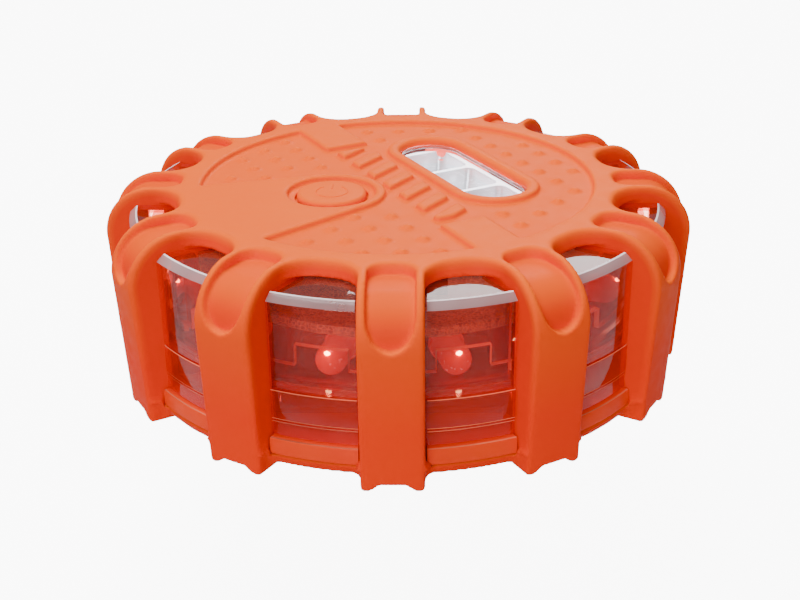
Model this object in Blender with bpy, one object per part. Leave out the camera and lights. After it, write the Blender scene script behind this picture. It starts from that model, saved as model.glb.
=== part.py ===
"""LED safety flare: a clear battery lantern inside an orange rubber boot with twelve arms.

The origin is on the ground under the middle of the flare, +Z is up, and one arm points along -Y.
Sizes below are in millimetres; MM turns them into Blender's metres.
"""

import math

import bmesh
import bpy
from mathutils import Matrix, Vector

MM = 0.001
GAP = 0.3  # clearance between pieces that touch
FAR = 60  # beyond the boot, for tools that cut all the way out

# Rubber boot
ARM_COUNT = 12
ARM_STEP = 360 / ARM_COUNT
ARM_HALF_WIDTH = 4.9
BOOT_RADIUS = 51.0
BOOT_HEIGHT = 32.5
BOOT_FOOT_RADIUS = 49.7
SHOULDER_RADIUS = 8.6
DISC_RADIUS = 34.0
DISC_Z = 31.6
WINDOW_RADIUS = 37.6
WINDOW_CORNER = 3.0
WINDOW_SILL_Z = 3.05
RIM_RADIUS = 47.0
RIM_Z = 1.2
LIP_RADIUS = 43.5
LIP_Z = 2.6
SCOOP_HALF_WIDTH = 3.65
SCOOP_FLOOR = ((37.5, 30.7), (43.0, 30.6), (46.0, 30.0), (48.3, 28.6), (49.9, 26.6), (50.8, 24.3), (52.0, 21.3))
FOOT_ARCH = ((-4.0, -0.4), (-2.0, 1.2), (2.0, 1.2), (4.0, -0.4))

# Top features, lined up with a band that crosses the disc; sides are measured square to it
BAND_ANGLE = 28.2  # from -Y towards +X
BAND_SIDE = 0.25
BAND_HALF_WIDTH = 4.15
BAND_PLAIN_BACK = -21.2
BAND_PLAIN_FRONT = 22.8
BUTTON_X = -11.0
BUTTON_Y = -6.3
BUTTON_RADIUS = 5.95
BUTTON_MOAT = 7.5
WEDGE_RADIUS = 9.2
WEDGE_SLOPES = (15.3, 42.9)
TORCH_ALONG = -0.7
TORCH_SIDE = 13.2
TORCH_HALF_LENGTH = 17.0
TORCH_HALF_WIDTH = 5.7
TORCH_LIP = 2.2

# Housing
HOUSING_RADIUS = 46.4
HOUSING_TOP = 29.6
HOUSING_CHAMFER = 1.2
HOUSING_INNER_RADIUS = 43.0
HOUSING_WALL = 1.6
SHOULDER_CEILING = 26.8
SEAM_Z = 14.0
SEAL_GROOVE = (43.6, 44.6, 0.9)
FLANGE_RADIUS = 47.2
FLANGE_TOP = 5.9
FLANGE_BOTTOM = 3.2
BASE_RADIUS = 45.5
BASE_BOTTOM = 2.9
BASE_TOP = 4.6
CHANNEL_RADIUS = 45.0
CHANNEL_FLOOR = 28.2
CHANNEL_START = 36.2
SKIRT_RADIUS = 42.2
SKIRT_INNER_RADIUS = 41.2
SKIRT_BOTTOM = 16.2
SKIRT_NOTCH_HALF_WIDTH = 4.3
SKIRT_NOTCH_TOP = 19.8
SCREW_CIRCLE = 40.4
SCREW_ANGLES = (30, 120, 210, 300)
BOSS_RADIUS = 3.0
SCREW_RADIUS = 1.4
SCREW_HEAD_RADIUS = 2.5
SCREW_TIP_Z = 20.0

# Electronics
BOARD_RADIUS = 35.5
BOARD_BOTTOM = 18.8
BOARD_TOP = 20.4
POST_CIRCLE = 29.3
POST_ANGLES = (0, 90, 240)
POST_RADIUS = 2.4
POST_SCREW_RADIUS = 1.0
LED_RADIUS = 2.5
LED_Z = 15.6
LED_BACK = 31.2
LED_TIP = 39.8
CUP_SPACING = 11.0
SWITCH_SIDE = 6.0
SWITCH_TOP = 24.0
SWITCH_WELL_Z = 21.8
STEM_RADIUS = 1.75
STEM_TOP = 25.0
PLUNGER_RADIUS = 1.6

# Batteries
CELL_RADIUS = 5.25
CELL_LENGTH = 44.5
CELL_PITCH = 11.2
CELL_Z = 10.0
SPRING_LENGTH = 3.7
SPRING_WIRE = 0.28
PLATE_THICKNESS = 0.4
TRAY_HALF = (17.9, 26.0)
TRAY_WALL = 1.1
TRAY_TOP = 16.6
TRAY_RIM_TOP = 12.4
TRAY_RIM_RADIUS = 42.2
TRAY_RIM_LIP_Z = 14.0
TRAY_BOTTOM = 4.9
DOOR_HALF = (19.0, 31.6)
DOOR_CORNER = 4.0
DOOR_TOP = 4.1
DOOR_SCREW_Y = 28.9
DOOR_SCREW_RADIUS = 1.2

# Underside
MAGNET_RADIUS = 10.0
MAGNET_FACE_Z = 0.4
HOOK_WIRE = 0.8
HOOK_Z = 1.75
HOOK_PIVOT_Y = 22.5
HOOK_HALF_WIDTH = 14.2
HOOK_BEND = 1.2
HOOK_END = 17.0

# Sides of a round shape
SMOOTH = 48
INNER = 32
MEDIUM = 24
SMALL = 12
LAMP = 10


# Outlines --------------------------------------------------------------------------------------


def arc(centre, radius, start, end, steps):
    """Points on a circle from one angle to another, in degrees."""
    angles = [math.radians(start + (end - start) * i / steps) for i in range(steps + 1)]
    return [(centre[0] + radius * math.cos(a), centre[1] + radius * math.sin(a)) for a in angles]


def circle(radius, segments):
    """Starts off the axes, so that its corners don't meet those of the shape it cuts."""
    start = 90 / segments
    return arc((0, 0), radius, start, start + 360, segments)[:-1]


def stadium(half_length, half_width, steps=10):
    """A slot outline that lies along X."""
    reach = half_length - half_width
    return arc((reach, 0), half_width, -90, 90, steps) + arc((-reach, 0), half_width, 90, 270, steps)


def rounded_rectangle(half_x, half_y, corner, steps=4):
    x, y = half_x - corner, half_y - corner
    corners = ((x, y, 0), (-x, y, 90), (-x, -y, 180), (x, -y, 270))
    return [point for cx, cy, a in corners for point in arc((cx, cy), corner, a, a + 90, steps)]


def rectangle(half_x, half_y):
    return [(half_x, half_y), (-half_x, half_y), (-half_x, -half_y), (half_x, -half_y)]


def window_outline(inner_radius, corner):
    """The gap between two arms, opening along +Y, with rounded inner corners."""
    lean = math.radians(ARM_STEP / 2)
    along = Vector((math.sin(lean), math.cos(lean)))
    inward = Vector((-math.cos(lean), math.sin(lean)))
    offset = ARM_HALF_WIDTH + corner
    centre = offset * inward + math.sqrt((inner_radius + corner) ** 2 - offset**2) * along
    to_side = math.degrees(math.atan2(-inward.y, -inward.x))
    to_middle = math.degrees(math.atan2(-centre.y, -centre.x))
    side = [tuple(ARM_HALF_WIDTH * inward + FAR * along)]
    side += arc(centre, corner, to_side, to_middle, 4)
    return side + [(0, inner_radius)] + [(-x, y) for x, y in reversed(side)]


# Where things go -------------------------------------------------------------------------------


def turned_by(angle):
    """Turns +Y to the direction that is this many degrees from -Y towards +X."""
    return Matrix.Rotation(math.radians(angle + 180), 4, "Z")


def on_circle(radius, angle):
    return (radius * math.sin(math.radians(angle)), -radius * math.cos(math.radians(angle)))


def moved_to(x, y, z=0.0):
    return Matrix.Translation(Vector((x, y, z)) * MM)


def band_place(along=0.0, side=0.0):
    """Lays +X along the band and +Y square to it, towards the torch."""
    return Matrix.Rotation(math.radians(BAND_ANGLE - 90), 4, "Z") @ moved_to(along, side)


# Solids ----------------------------------------------------------------------------------------


def lathe(profile, segments=MEDIUM, place=Matrix(), start=0.5):
    """Spins an outline of (radius, height) points around Z, from a start given in segments.

    Points at radius 0 close the ends.
    """
    verts = []
    rings = []
    for radius, height in profile:
        count = 1 if radius == 0 else segments
        rings.append(range(len(verts), len(verts) + count))
        for i in range(count):
            angle = math.tau * (i + start) / segments
            verts.append((radius * math.cos(angle), radius * math.sin(angle), height))
    faces = []
    for ring, other in zip(rings, rings[1:] + rings[:1]):
        if len(ring) == len(other) == 1:
            continue
        for i in range(segments):
            corners = [ring[i % len(ring)], ring[(i + 1) % len(ring)]]
            corners += [other[(i + 1) % len(other)], other[i % len(other)]]
            faces.append(list(dict.fromkeys(corners)))
    return placed(verts, place), faces


def prism(outline, low, high, place=Matrix()):
    """Raises an outline in plan from one height to another."""
    count = len(outline)
    verts = [(x, y, low) for x, y in outline] + [(x, y, high) for x, y in outline]
    faces = [list(range(count)), list(range(count, 2 * count))]
    faces += [[i, (i + 1) % count, (i + 1) % count + count, i + count] for i in range(count)]
    return placed(verts, place), faces


def rib(outline, half_width, place=Matrix()):
    """A plate cut to an outline of (distance along +Y, height) points, standing upright."""
    stand = Matrix(((0, 0, 1, 0), (1, 0, 0, 0), (0, 1, 0, 0), (0, 0, 0, 1)))
    return prism(outline, -half_width, half_width, place @ stand)


def groove(outline, near, far, place=Matrix()):
    """A bar with a cross-section of (sideways, height) points that runs along +Y."""
    lay = Matrix(((1, 0, 0, 0), (0, 0, 1, 0), (0, 1, 0, 0), (0, 0, 0, 1)))
    return prism(outline, near, far, place @ lay)


def placed(verts, place):
    return [place @ (Vector(vert) * MM) for vert in verts]


def make(name, bodies, material=None, at=(0, 0, 0)):
    """One object from closed bodies; its origin goes to the point given."""
    mesh = bpy.data.meshes.new(name)
    origin = Vector(at) * MM
    verts = []
    faces = []
    for body_verts, body_faces in bodies:
        faces += [[i + len(verts) for i in face] for face in body_faces]
        verts += [vert - origin for vert in body_verts]
    mesh.from_pydata(verts, [], faces)
    bm = bmesh.new()
    bm.from_mesh(mesh)
    bmesh.ops.recalc_face_normals(bm, faces=bm.faces)
    bm.to_mesh(mesh)
    bm.free()
    mesh.shade_smooth()
    mesh.set_sharp_from_angle(angle=math.radians(30))
    piece = bpy.data.objects.new(name, mesh)
    piece.location = origin
    bpy.context.scene.collection.objects.link(piece)
    if material:
        mesh.materials.append(material)
    return piece


def combine(piece, tool, operation):
    tool.hide_render = True
    tool.display_type = "WIRE"
    boolean = piece.modifiers.new(tool.name, "BOOLEAN")
    boolean.operation = operation
    boolean.object = tool


def cut(piece, name, bodies):
    combine(piece, make(name, bodies), "DIFFERENCE")


def join(piece, name, bodies):
    combine(piece, make(name, bodies), "UNION")


def pins(radius, low, high, circle_radius, angles, segments=SMALL):
    """Upright round bars at these angles on a circle."""
    outline = circle(radius, segments)
    return [prism(outline, low, high, moved_to(*on_circle(circle_radius, a))) for a in angles]


def around(shape):
    """Twelve copies of a body, one per arm or one per window."""
    return [shape(index) for index in range(ARM_COUNT)]


def arm(index):
    return turned_by(index * ARM_STEP)


def window(index):
    return turned_by((index + 0.5) * ARM_STEP)


# Materials -------------------------------------------------------------------------------------


def material(name, colour, roughness, metallic=0.0, transmission=0.0, glow=0.0):
    made = bpy.data.materials.new(name)
    made.use_nodes = True
    shader = made.node_tree.nodes["Principled BSDF"]
    shader.inputs["Base Color"].default_value = (*colour, 1)
    shader.inputs["Roughness"].default_value = roughness
    shader.inputs["Metallic"].default_value = metallic
    shader.inputs["Transmission Weight"].default_value = transmission
    shader.inputs["Emission Color"].default_value = (*colour, 1)
    shader.inputs["Emission Strength"].default_value = glow
    made.diffuse_color = (*colour, 1)
    return made


def make_materials():
    return {
        "rubber": material("orange_rubber", (0.85, 0.17, 0.03), 0.55),
        "clear": material("clear_polycarbonate", (1.0, 0.45, 0.35), 0.06, transmission=0.9),
        "orange": material("orange_abs", (0.80, 0.13, 0.02), 0.30),
        "black": material("black_abs", (0.03, 0.03, 0.03), 0.45),
        "white": material("white_nylon", (0.80, 0.80, 0.78), 0.45),
        "seal": material("seal_silicone", (0.12, 0.12, 0.12), 0.60),
        "board": material("circuit_board", (0.16, 0.20, 0.05), 0.40),
        "led": material("red_led", (0.90, 0.03, 0.04), 0.15, transmission=0.5, glow=0.5),
        "torch_led": material("white_led", (0.95, 0.90, 0.60), 0.20),
        "chrome": material("chrome", (0.90, 0.90, 0.92), 0.08, metallic=1.0),
        "steel": material("steel", (0.60, 0.60, 0.62), 0.30, metallic=1.0),
        "cell": material("battery_label", (0.10, 0.10, 0.11), 0.35),
    }


# Boot ------------------------------------------------------------------------------------------


def boot_profile():
    side = BOOT_RADIUS - SHOULDER_RADIUS
    shoulder = arc((side, BOOT_HEIGHT - SHOULDER_RADIUS), SHOULDER_RADIUS, 90, 0, 6)
    foot = [(BOOT_FOOT_RADIUS, 1.0), (BOOT_FOOT_RADIUS - 0.4, 0), (0, 0)]
    return [(0, BOOT_HEIGHT)] + shoulder + foot


def housing_envelope():
    """The space that the housing and its clearance take inside the boot."""
    wall = HOUSING_RADIUS + GAP
    top = HOUSING_TOP + GAP
    flange = FLANGE_RADIUS + GAP
    return [
        (0, top),
        (wall - HOUSING_CHAMFER, top),
        (wall, top - HOUSING_CHAMFER),
        (wall, FLANGE_TOP + GAP),
        (flange, FLANGE_TOP + GAP),
        (flange, FLANGE_BOTTOM - GAP),
        (BASE_RADIUS + GAP, FLANGE_BOTTOM - GAP),
        (BASE_RADIUS + GAP, LIP_Z),
        (LIP_RADIUS, LIP_Z),
        (LIP_RADIUS, -1),
        (0, -1),
    ]


def channels(half_width, start, radius, floor, bottom):
    """Twelve bars that lie over the shoulder and down the side, one under each arm."""
    outline = [(start, floor), (radius, floor), (radius, bottom), (FAR, bottom), (FAR, 40), (start, 40)]
    return around(lambda index: rib(outline, half_width, arm(index)))


def boot_interior():
    """What is hollow in the boot: the housing's space, less the strips under the arms."""
    interior = make("boot_interior", [lathe(housing_envelope(), SMOOTH)])
    start, radius = CHANNEL_START + GAP, CHANNEL_RADIUS + GAP
    strips = channels(ARM_HALF_WIDTH, start, radius, CHANNEL_FLOOR + GAP, FLANGE_BOTTOM - 2 * GAP)
    cut(interior, "boot_interior_strips", strips)
    return interior


def window_blocks(radius, corner, low, high):
    outline = window_outline(radius, corner)
    return around(lambda index: prism(outline, low, high, window(index)))


def wedge_outline():
    """The smooth panel that runs from round the button to the rim of the disc."""
    upper, lower = WEDGE_SLOPES
    edge = arc((BUTTON_X, BUTTON_Y), WEDGE_RADIUS, lower - 90, upper + 90, 12)
    ends = []
    for point, slope in ((edge[-1], upper), (edge[0], lower)):
        lean = math.radians(slope)
        ends.append((point[0] - 40 * math.cos(lean), point[1] - 40 * math.sin(lean)))
    return edge + ends


def band_end(inner, outer):
    middle = (inner + outer) / 2
    outline = rectangle(abs(outer - inner) / 2, BAND_HALF_WIDTH)
    return prism(outline, 30, 42, band_place(middle, BAND_SIDE))


def disc_fields():
    """The sunk parts of the disc: all of it, less the band's ends, the wedge and the torch lip."""
    fields = make("disc_fields", [prism(circle(DISC_RADIUS, SMOOTH), DISC_Z, 40)])
    ends = [band_end(BAND_PLAIN_BACK, -DISC_RADIUS - 3), band_end(BAND_PLAIN_FRONT, DISC_RADIUS + 3)]
    cut(fields, "band_ends", ends)
    cut(fields, "button_wedge", [prism(wedge_outline(), 30, 42)])
    lip = stadium(TORCH_HALF_LENGTH + TORCH_LIP, TORCH_HALF_WIDTH + TORCH_LIP)
    cut(fields, "torch_lip", [prism(lip, 30, 42, band_place(TORCH_ALONG, TORCH_SIDE))])
    return fields


def cut_top_holes(boot):
    button = moved_to(BUTTON_X, BUTTON_Y)
    torch = band_place(TORCH_ALONG, TORCH_SIDE)
    cut(boot, "button_moat", [prism(circle(BUTTON_MOAT, MEDIUM), DISC_Z, 40, button)])
    hole = prism(circle(BUTTON_RADIUS + GAP, MEDIUM), 28, 40, button)
    opening = prism(stadium(TORCH_HALF_LENGTH, TORCH_HALF_WIDTH), 28, 40, torch)
    cut(boot, "top_holes", [hole, opening])
    pocket = prism(circle(BUTTON_MOAT + 0.2, MEDIUM), 28, 31.05, button)
    seat = prism(stadium(TORCH_HALF_LENGTH + 1.7, TORCH_HALF_WIDTH + 1.7), 28, 30.8, torch)
    cut(boot, "underside_pockets", [pocket, seat])


def make_boot(mats):
    boot = make("rubber_cover", [lathe(boot_profile(), SMOOTH, start=0)], mats["rubber"])
    combine(boot, boot_interior(), "DIFFERENCE")
    cut(boot, "boot_windows", window_blocks(WINDOW_RADIUS, WINDOW_CORNER, WINDOW_SILL_Z, 40))
    cut(boot, "boot_rim_side", window_blocks(RIM_RADIUS, 0.5, -1, WINDOW_SILL_Z + 1))
    cut(boot, "boot_rim_underside", window_blocks(LIP_RADIUS - 2, 0.5, -1, RIM_Z))
    floor = list(SCOOP_FLOOR) + [(FAR, SCOOP_FLOOR[-1][1]), (FAR, 40), (SCOOP_FLOOR[0][0], 40)]
    cut(boot, "boot_scoops", around(lambda index: rib(floor, SCOOP_HALF_WIDTH, arm(index))))
    arches = around(lambda index: groove(FOOT_ARCH, LIP_RADIUS - 3, FAR, arm(index)))
    cut(boot, "boot_foot_arches", arches)
    combine(boot, disc_fields(), "DIFFERENCE")
    cut_top_holes(boot)


# Button and switch -----------------------------------------------------------------------------


def make_button(mats):
    place = moved_to(BUTTON_X, BUTTON_Y)
    at = (BUTTON_X, BUTTON_Y, 0)
    flange = BUTTON_MOAT - 0.1
    pad = [
        (0, 32.35),
        (BUTTON_RADIUS - 0.5, 32.35),
        (BUTTON_RADIUS, 32.0),
        (BUTTON_RADIUS, 30.75),
        (flange, 30.75),
        (flange, 30.35),
        (0, 30.35),
    ]
    make("power_button", [lathe(pad, MEDIUM, place)], mats["rubber"], at)
    collar = PLUNGER_RADIUS + 1.0
    pin = [
        (0, 30.05),
        (PLUNGER_RADIUS, 30.05),
        (PLUNGER_RADIUS, 27.5),
        (collar, 27.5),
        (collar, 26.9),
        (PLUNGER_RADIUS, 26.9),
        (PLUNGER_RADIUS, 25.6),
        (0, 25.6),
    ]
    make("button_plunger", [lathe(pin, SMALL, place)], mats["white"], at)
    stem = [(0, STEM_TOP), (STEM_RADIUS, STEM_TOP), (STEM_RADIUS, 22.3), (0, 22.3)]
    make("tact_switch_stem", [lathe(stem, SMALL, place)], mats["white"], at)
    half = SWITCH_SIDE / 2
    body = prism(rectangle(half, half), BOARD_TOP + GAP, SWITCH_TOP, place)
    switch = make("tact_switch", [body], mats["black"], at)
    well = prism(circle(STEM_RADIUS + GAP, SMALL), SWITCH_WELL_Z, 30, place)
    cut(switch, "tact_switch_well", [well])


# Housing ---------------------------------------------------------------------------------------


def cut_channels(piece, name):
    """Room for the strips under the boot's arms, which keep the housing from turning."""
    bars = channels(ARM_HALF_WIDTH + GAP, CHANNEL_START, CHANNEL_RADIUS, CHANNEL_FLOOR, 0)
    cut(piece, name, bars)


def upper_housing_profile():
    ceiling = HOUSING_TOP - HOUSING_WALL
    step = CHANNEL_START - 1.2
    return [
        (0, HOUSING_TOP),
        (HOUSING_RADIUS - HOUSING_CHAMFER, HOUSING_TOP),
        (HOUSING_RADIUS, HOUSING_TOP - HOUSING_CHAMFER),
        (HOUSING_RADIUS, SEAM_Z + GAP / 2),
        (HOUSING_INNER_RADIUS, SEAM_Z + GAP / 2),
        (HOUSING_INNER_RADIUS, SHOULDER_CEILING),
        (SKIRT_RADIUS, SHOULDER_CEILING),
        (SKIRT_RADIUS, SKIRT_BOTTOM),
        (SKIRT_INNER_RADIUS, SKIRT_BOTTOM),
        (SKIRT_INNER_RADIUS, SHOULDER_CEILING),
        (step, SHOULDER_CEILING),
        (step, ceiling),
        (0, ceiling),
    ]


def make_upper_housing(mats):
    shell = make("upper_housing", [lathe(upper_housing_profile(), SMOOTH)], mats["clear"])
    block = rectangle(SKIRT_NOTCH_HALF_WIDTH, 1.2)
    reach = (SKIRT_RADIUS + SKIRT_INNER_RADIUS) / 2 - 0.1
    low, high = SKIRT_BOTTOM - 1, SKIRT_NOTCH_TOP
    notches = around(lambda index: prism(block, low, high, window(index) @ moved_to(0, reach)))
    cut(shell, "skirt_notches", notches)
    ceiling = HOUSING_TOP - HOUSING_WALL + 0.5
    supports = pins(BOSS_RADIUS, SEAM_Z + GAP / 2, ceiling, SCREW_CIRCLE, SCREW_ANGLES)
    supports += pins(POST_RADIUS, BOARD_TOP + GAP, ceiling, POST_CIRCLE, POST_ANGLES)
    join(shell, "upper_supports", supports)
    cut_channels(shell, "upper_channels")
    bores = pins(SCREW_RADIUS + GAP, SEAM_Z - 1, SCREW_TIP_Z + 0.4, SCREW_CIRCLE, SCREW_ANGLES)
    bores += pins(POST_SCREW_RADIUS + GAP, BOARD_TOP - 1, 24.0, POST_CIRCLE, POST_ANGLES, 12)
    cut(shell, "upper_bores", bores)
    button = prism(circle(PLUNGER_RADIUS + GAP, SMALL), 26, 40, moved_to(BUTTON_X, BUTTON_Y))
    outline = stadium(TORCH_HALF_LENGTH + 0.4, TORCH_HALF_WIDTH + 0.4)
    torch = prism(outline, 26, 40, band_place(TORCH_ALONG, TORCH_SIDE))
    cut(shell, "upper_holes", [button, torch])


def make_lower_housing(mats):
    top = SEAM_Z - GAP / 2
    bottom = FLANGE_TOP + GAP
    inner, outer, depth = SEAL_GROOVE
    profile = [
        (outer, top),
        (HOUSING_RADIUS, top),
        (HOUSING_RADIUS, bottom),
        (HOUSING_INNER_RADIUS, bottom),
        (HOUSING_INNER_RADIUS, top),
        (inner, top),
        (inner, top - depth),
        (outer, top - depth),
    ]
    shell = make("lower_housing", [lathe(profile, SMOOTH)], mats["clear"])
    cut_channels(shell, "lower_channels")
    bosses = pins(BOSS_RADIUS, bottom, top, SCREW_CIRCLE, SCREW_ANGLES)
    join(shell, "lower_bosses", bosses)
    cut(shell, "lower_bores", pins(SCREW_RADIUS + GAP, 0, 20, SCREW_CIRCLE, SCREW_ANGLES))
    low = top - depth + GAP
    ring = [(inner + 0.75, SEAM_Z), (inner + 0.75, low), (inner + 0.25, low), (inner + 0.25, SEAM_Z)]
    make("housing_seal", [lathe(ring, INNER)], mats["seal"])


def make_base_plate(mats):
    profile = [
        (0, BASE_TOP),
        (HOUSING_INNER_RADIUS, BASE_TOP),
        (HOUSING_INNER_RADIUS, FLANGE_TOP),
        (FLANGE_RADIUS, FLANGE_TOP),
        (FLANGE_RADIUS, FLANGE_BOTTOM),
        (BASE_RADIUS, FLANGE_BOTTOM),
        (BASE_RADIUS, BASE_BOTTOM),
        (0, BASE_BOTTOM),
    ]
    plate = make("base_plate", [lathe(profile, SMOOTH)], mats["orange"])
    cut_channels(plate, "base_channels")
    bosses = pins(BOSS_RADIUS, BASE_BOTTOM + 0.5, FLANGE_TOP, SCREW_CIRCLE, SCREW_ANGLES)
    join(plate, "base_bosses", bosses)
    cut(plate, "base_bores", pins(SCREW_RADIUS + GAP, 0, 20, SCREW_CIRCLE, SCREW_ANGLES))
    outline = rounded_rectangle(DOOR_HALF[0] + GAP, DOOR_HALF[1] + GAP, DOOR_CORNER + GAP)
    cut(plate, "door_opening", [prism(outline, 0, 20)])


def cross_outline(size):
    """The plan of a cross slot, made from one quarter turned four times."""
    half, width = size * 0.6, size * 0.13
    quarter = [(half, -width), (half, width), (width, width)]
    points = []
    for turn in range(4):
        cos, sin = round(math.cos(turn * math.pi / 2)), round(math.sin(turn * math.pi / 2))
        points += [(x * cos - y * sin, x * sin + y * cos) for x, y in quarter]
    return points


def make_screw(name, mats, at, head, shaft_radius, tip):
    """A pan-head screw that points up; head is (radius, lowest point, highest point)."""
    radius, low, high = head
    place = moved_to(*at)
    profile = [
        (0, tip),
        (shaft_radius * 0.5, tip - 0.6),
        (shaft_radius, tip - 1.6),
        (shaft_radius, high),
        (radius, high),
        (radius, low + 0.4),
        (radius * 0.7, low),
        (0, low),
    ]
    screw = make(name, [lathe(profile, SMALL, place)], mats["steel"], (*at, 0))
    cut(screw, name + "_slot", [prism(cross_outline(radius), low - 1, low + 0.6, place)])


def make_screws(mats):
    under = BASE_BOTTOM - GAP
    head = (SCREW_HEAD_RADIUS, under - 1.4, under)
    for index, angle in enumerate(SCREW_ANGLES, 1):
        at = on_circle(SCREW_CIRCLE, angle)
        make_screw(f"housing_screw_{index}", mats, at, head, SCREW_RADIUS, SCREW_TIP_Z)
    head = (2.1, BOARD_BOTTOM - GAP - 1.1, BOARD_BOTTOM - GAP)
    for index, angle in enumerate(POST_ANGLES, 1):
        at = on_circle(POST_CIRCLE, angle)
        make_screw(f"board_screw_{index}", mats, at, head, POST_SCREW_RADIUS, 23.5)
    head = (2.2, under - 1.3, under)
    for index, y in enumerate((-DOOR_SCREW_Y, DOOR_SCREW_Y), 1):
        make_screw(f"battery_cover_screw_{index}", mats, (0, y), head, DOOR_SCREW_RADIUS, 11.5)


# Electronics -----------------------------------------------------------------------------------


def make_board(mats):
    disc = prism(circle(BOARD_RADIUS, INNER), BOARD_BOTTOM, BOARD_TOP)
    board = make("circuit_board", [disc], mats["board"])
    cut(board, "board_holes", pins(POST_SCREW_RADIUS + GAP, 10, 30, POST_CIRCLE, POST_ANGLES, 12))
    foot = BOARD_TOP + GAP
    make("driver_chip", [prism(rectangle(2.6, 2.0), foot, 22.1, moved_to(6.0, -21.5))], mats["black"])
    can = [(0, 26.0), (2.2, 26.0), (2.5, 25.7), (2.5, foot), (0, foot)]
    make("capacitor", [lathe(can, SMALL, moved_to(-6.5, 23.5))], mats["cell"])


def led_profile():
    """A 5 mm lamp along +Z: flange, body and dome."""
    length = LED_TIP - LED_BACK
    dome = arc((0, length - LED_RADIUS), LED_RADIUS, 90, 0, 3)
    dome[0] = (0, length)
    return dome + [(LED_RADIUS, 1.0), (LED_RADIUS + 0.35, 1.0), (LED_RADIUS + 0.35, 0), (0, 0)]


def make_red_leds(mats):
    """Twelve lamps that look out between the arms, with their legs bent up to the board."""
    high = BOARD_BOTTOM - GAP - LED_Z
    bend = LED_BACK - 1.0
    bent = [(LED_BACK + 0.5, -0.25), (LED_BACK + 0.5, 0.25), (bend, 0.25)]
    bent += [(bend, high), (bend - 0.5, high), (bend - 0.5, -0.25)]
    for index in range(ARM_COUNT):
        name = f"red_led_{index + 1:02d}"
        out = window(index) @ moved_to(0, 0, LED_Z)
        body = out @ moved_to(0, LED_BACK) @ Matrix.Rotation(-math.pi / 2, 4, "X")
        lamp = make(name, [lathe(led_profile(), LAMP, body)], mats["led"])
        join(lamp, name + "_legs", [rib(bent, 0.25, out @ moved_to(x, 0)) for x in (-1.27, 1.27)])


def make_torch(mats):
    base = band_place(TORCH_ALONG, TORCH_SIDE)
    outline = stadium(TORCH_HALF_LENGTH + 0.1, TORCH_HALF_WIDTH + 0.1)
    block = prism(outline, 21.2, HOUSING_TOP - 0.2, base)
    reflector = make("torch_reflector", [block], mats["chrome"])
    cup = [(0, 31.0), (5.2, 31.0), (5.0, 29.0), (4.4, 26.2), (3.4, 23.6), (1.95, 22.0), (1.95, 20), (0, 20)]
    spots = [base @ moved_to(step * CUP_SPACING, 0) for step in (-1, 0, 1)]
    cut(reflector, "reflector_cups", [lathe(cup, MEDIUM, spot) for spot in spots])
    foot = BOARD_TOP + GAP
    dome = [(0, 23.0), (0.8, 22.8), (1.4, 22.3), (1.6, 21.6), (1.6, foot), (0, foot)]
    for index, spot in enumerate(spots, 1):
        make(f"torch_led_{index}", [lathe(dome, SMALL, spot)], mats["torch_led"])
    upper = stadium(TORCH_HALF_LENGTH - GAP, TORCH_HALF_WIDTH - GAP)
    lens = make("torch_lens", [prism(upper, 30.2, 31.4, base)], mats["clear"])
    wide = stadium(TORCH_HALF_LENGTH + 1.4, TORCH_HALF_WIDTH + 1.4)
    join(lens, "torch_lens_flange", [prism(wide, HOUSING_TOP + GAP, 30.5, base)])


# Battery bay -----------------------------------------------------------------------------------


def make_tray(mats):
    """An upside-down box with a round rim that carries the lamps; the cells go in from below."""
    half_x, half_y = TRAY_HALF
    box = prism(rounded_rectangle(half_x, half_y, 2.0), TRAY_BOTTOM, TRAY_TOP)
    tray = make("battery_tray", [box], mats["orange"])
    plate = TRAY_RIM_TOP
    rim = [(0, plate), (TRAY_RIM_RADIUS - 0.9, plate), (TRAY_RIM_RADIUS - 0.9, TRAY_RIM_LIP_Z)]
    rim += [(TRAY_RIM_RADIUS, TRAY_RIM_LIP_Z), (TRAY_RIM_RADIUS, plate - 0.8), (0, plate - 0.8)]
    join(tray, "tray_rim", [lathe(rim, INNER)])
    foot = prism(rounded_rectangle(half_x + 3.6, half_y + 8.0, DOOR_CORNER), TRAY_BOTTOM + 0.01, 5.9)
    join(tray, "tray_foot", [foot])
    lug = rounded_rectangle(3.0, 3.6, 1.0)
    ends = [moved_to(0, -DOOR_SCREW_Y), moved_to(0, DOOR_SCREW_Y)]
    join(tray, "tray_lugs", [prism(lug, TRAY_BOTTOM + 0.5, plate + 0.8, end) for end in ends])
    inner = rounded_rectangle(half_x - TRAY_WALL, half_y - TRAY_WALL, 1.0)
    cut(tray, "tray_hollow", [prism(inner, 0, TRAY_TOP - 1.0)])
    cut(tray, "tray_notches", pins(BOSS_RADIUS + 0.4, 4, 20, SCREW_CIRCLE, SCREW_ANGLES))
    pilot = circle(DOOR_SCREW_RADIUS + GAP, 12)
    cut(tray, "tray_pilots", [prism(pilot, 0, 12.0, end) for end in ends])


def cell_profile():
    radius, length = CELL_RADIUS, CELL_LENGTH
    return [
        (0, length),
        (1.9, length),
        (1.9, length - 0.9),
        (radius - 0.4, length - 0.9),
        (radius, length - 1.4),
        (radius, 0.4),
        (radius - 0.4, 0),
        (0, 0),
    ]


def spring_path():
    """Centre line of a conical contact spring that stands on its wide end."""
    turns, steps = 3, 10
    count = turns * steps
    rise = SPRING_LENGTH - 2 * SPRING_WIRE
    points = []
    for i in range(count + 1):
        share = i / count
        radius = 3.4 - 1.3 * share
        angle = math.tau * turns * share
        points.append((radius * math.cos(angle), radius * math.sin(angle), SPRING_WIRE + rise * share))
    return points


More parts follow.
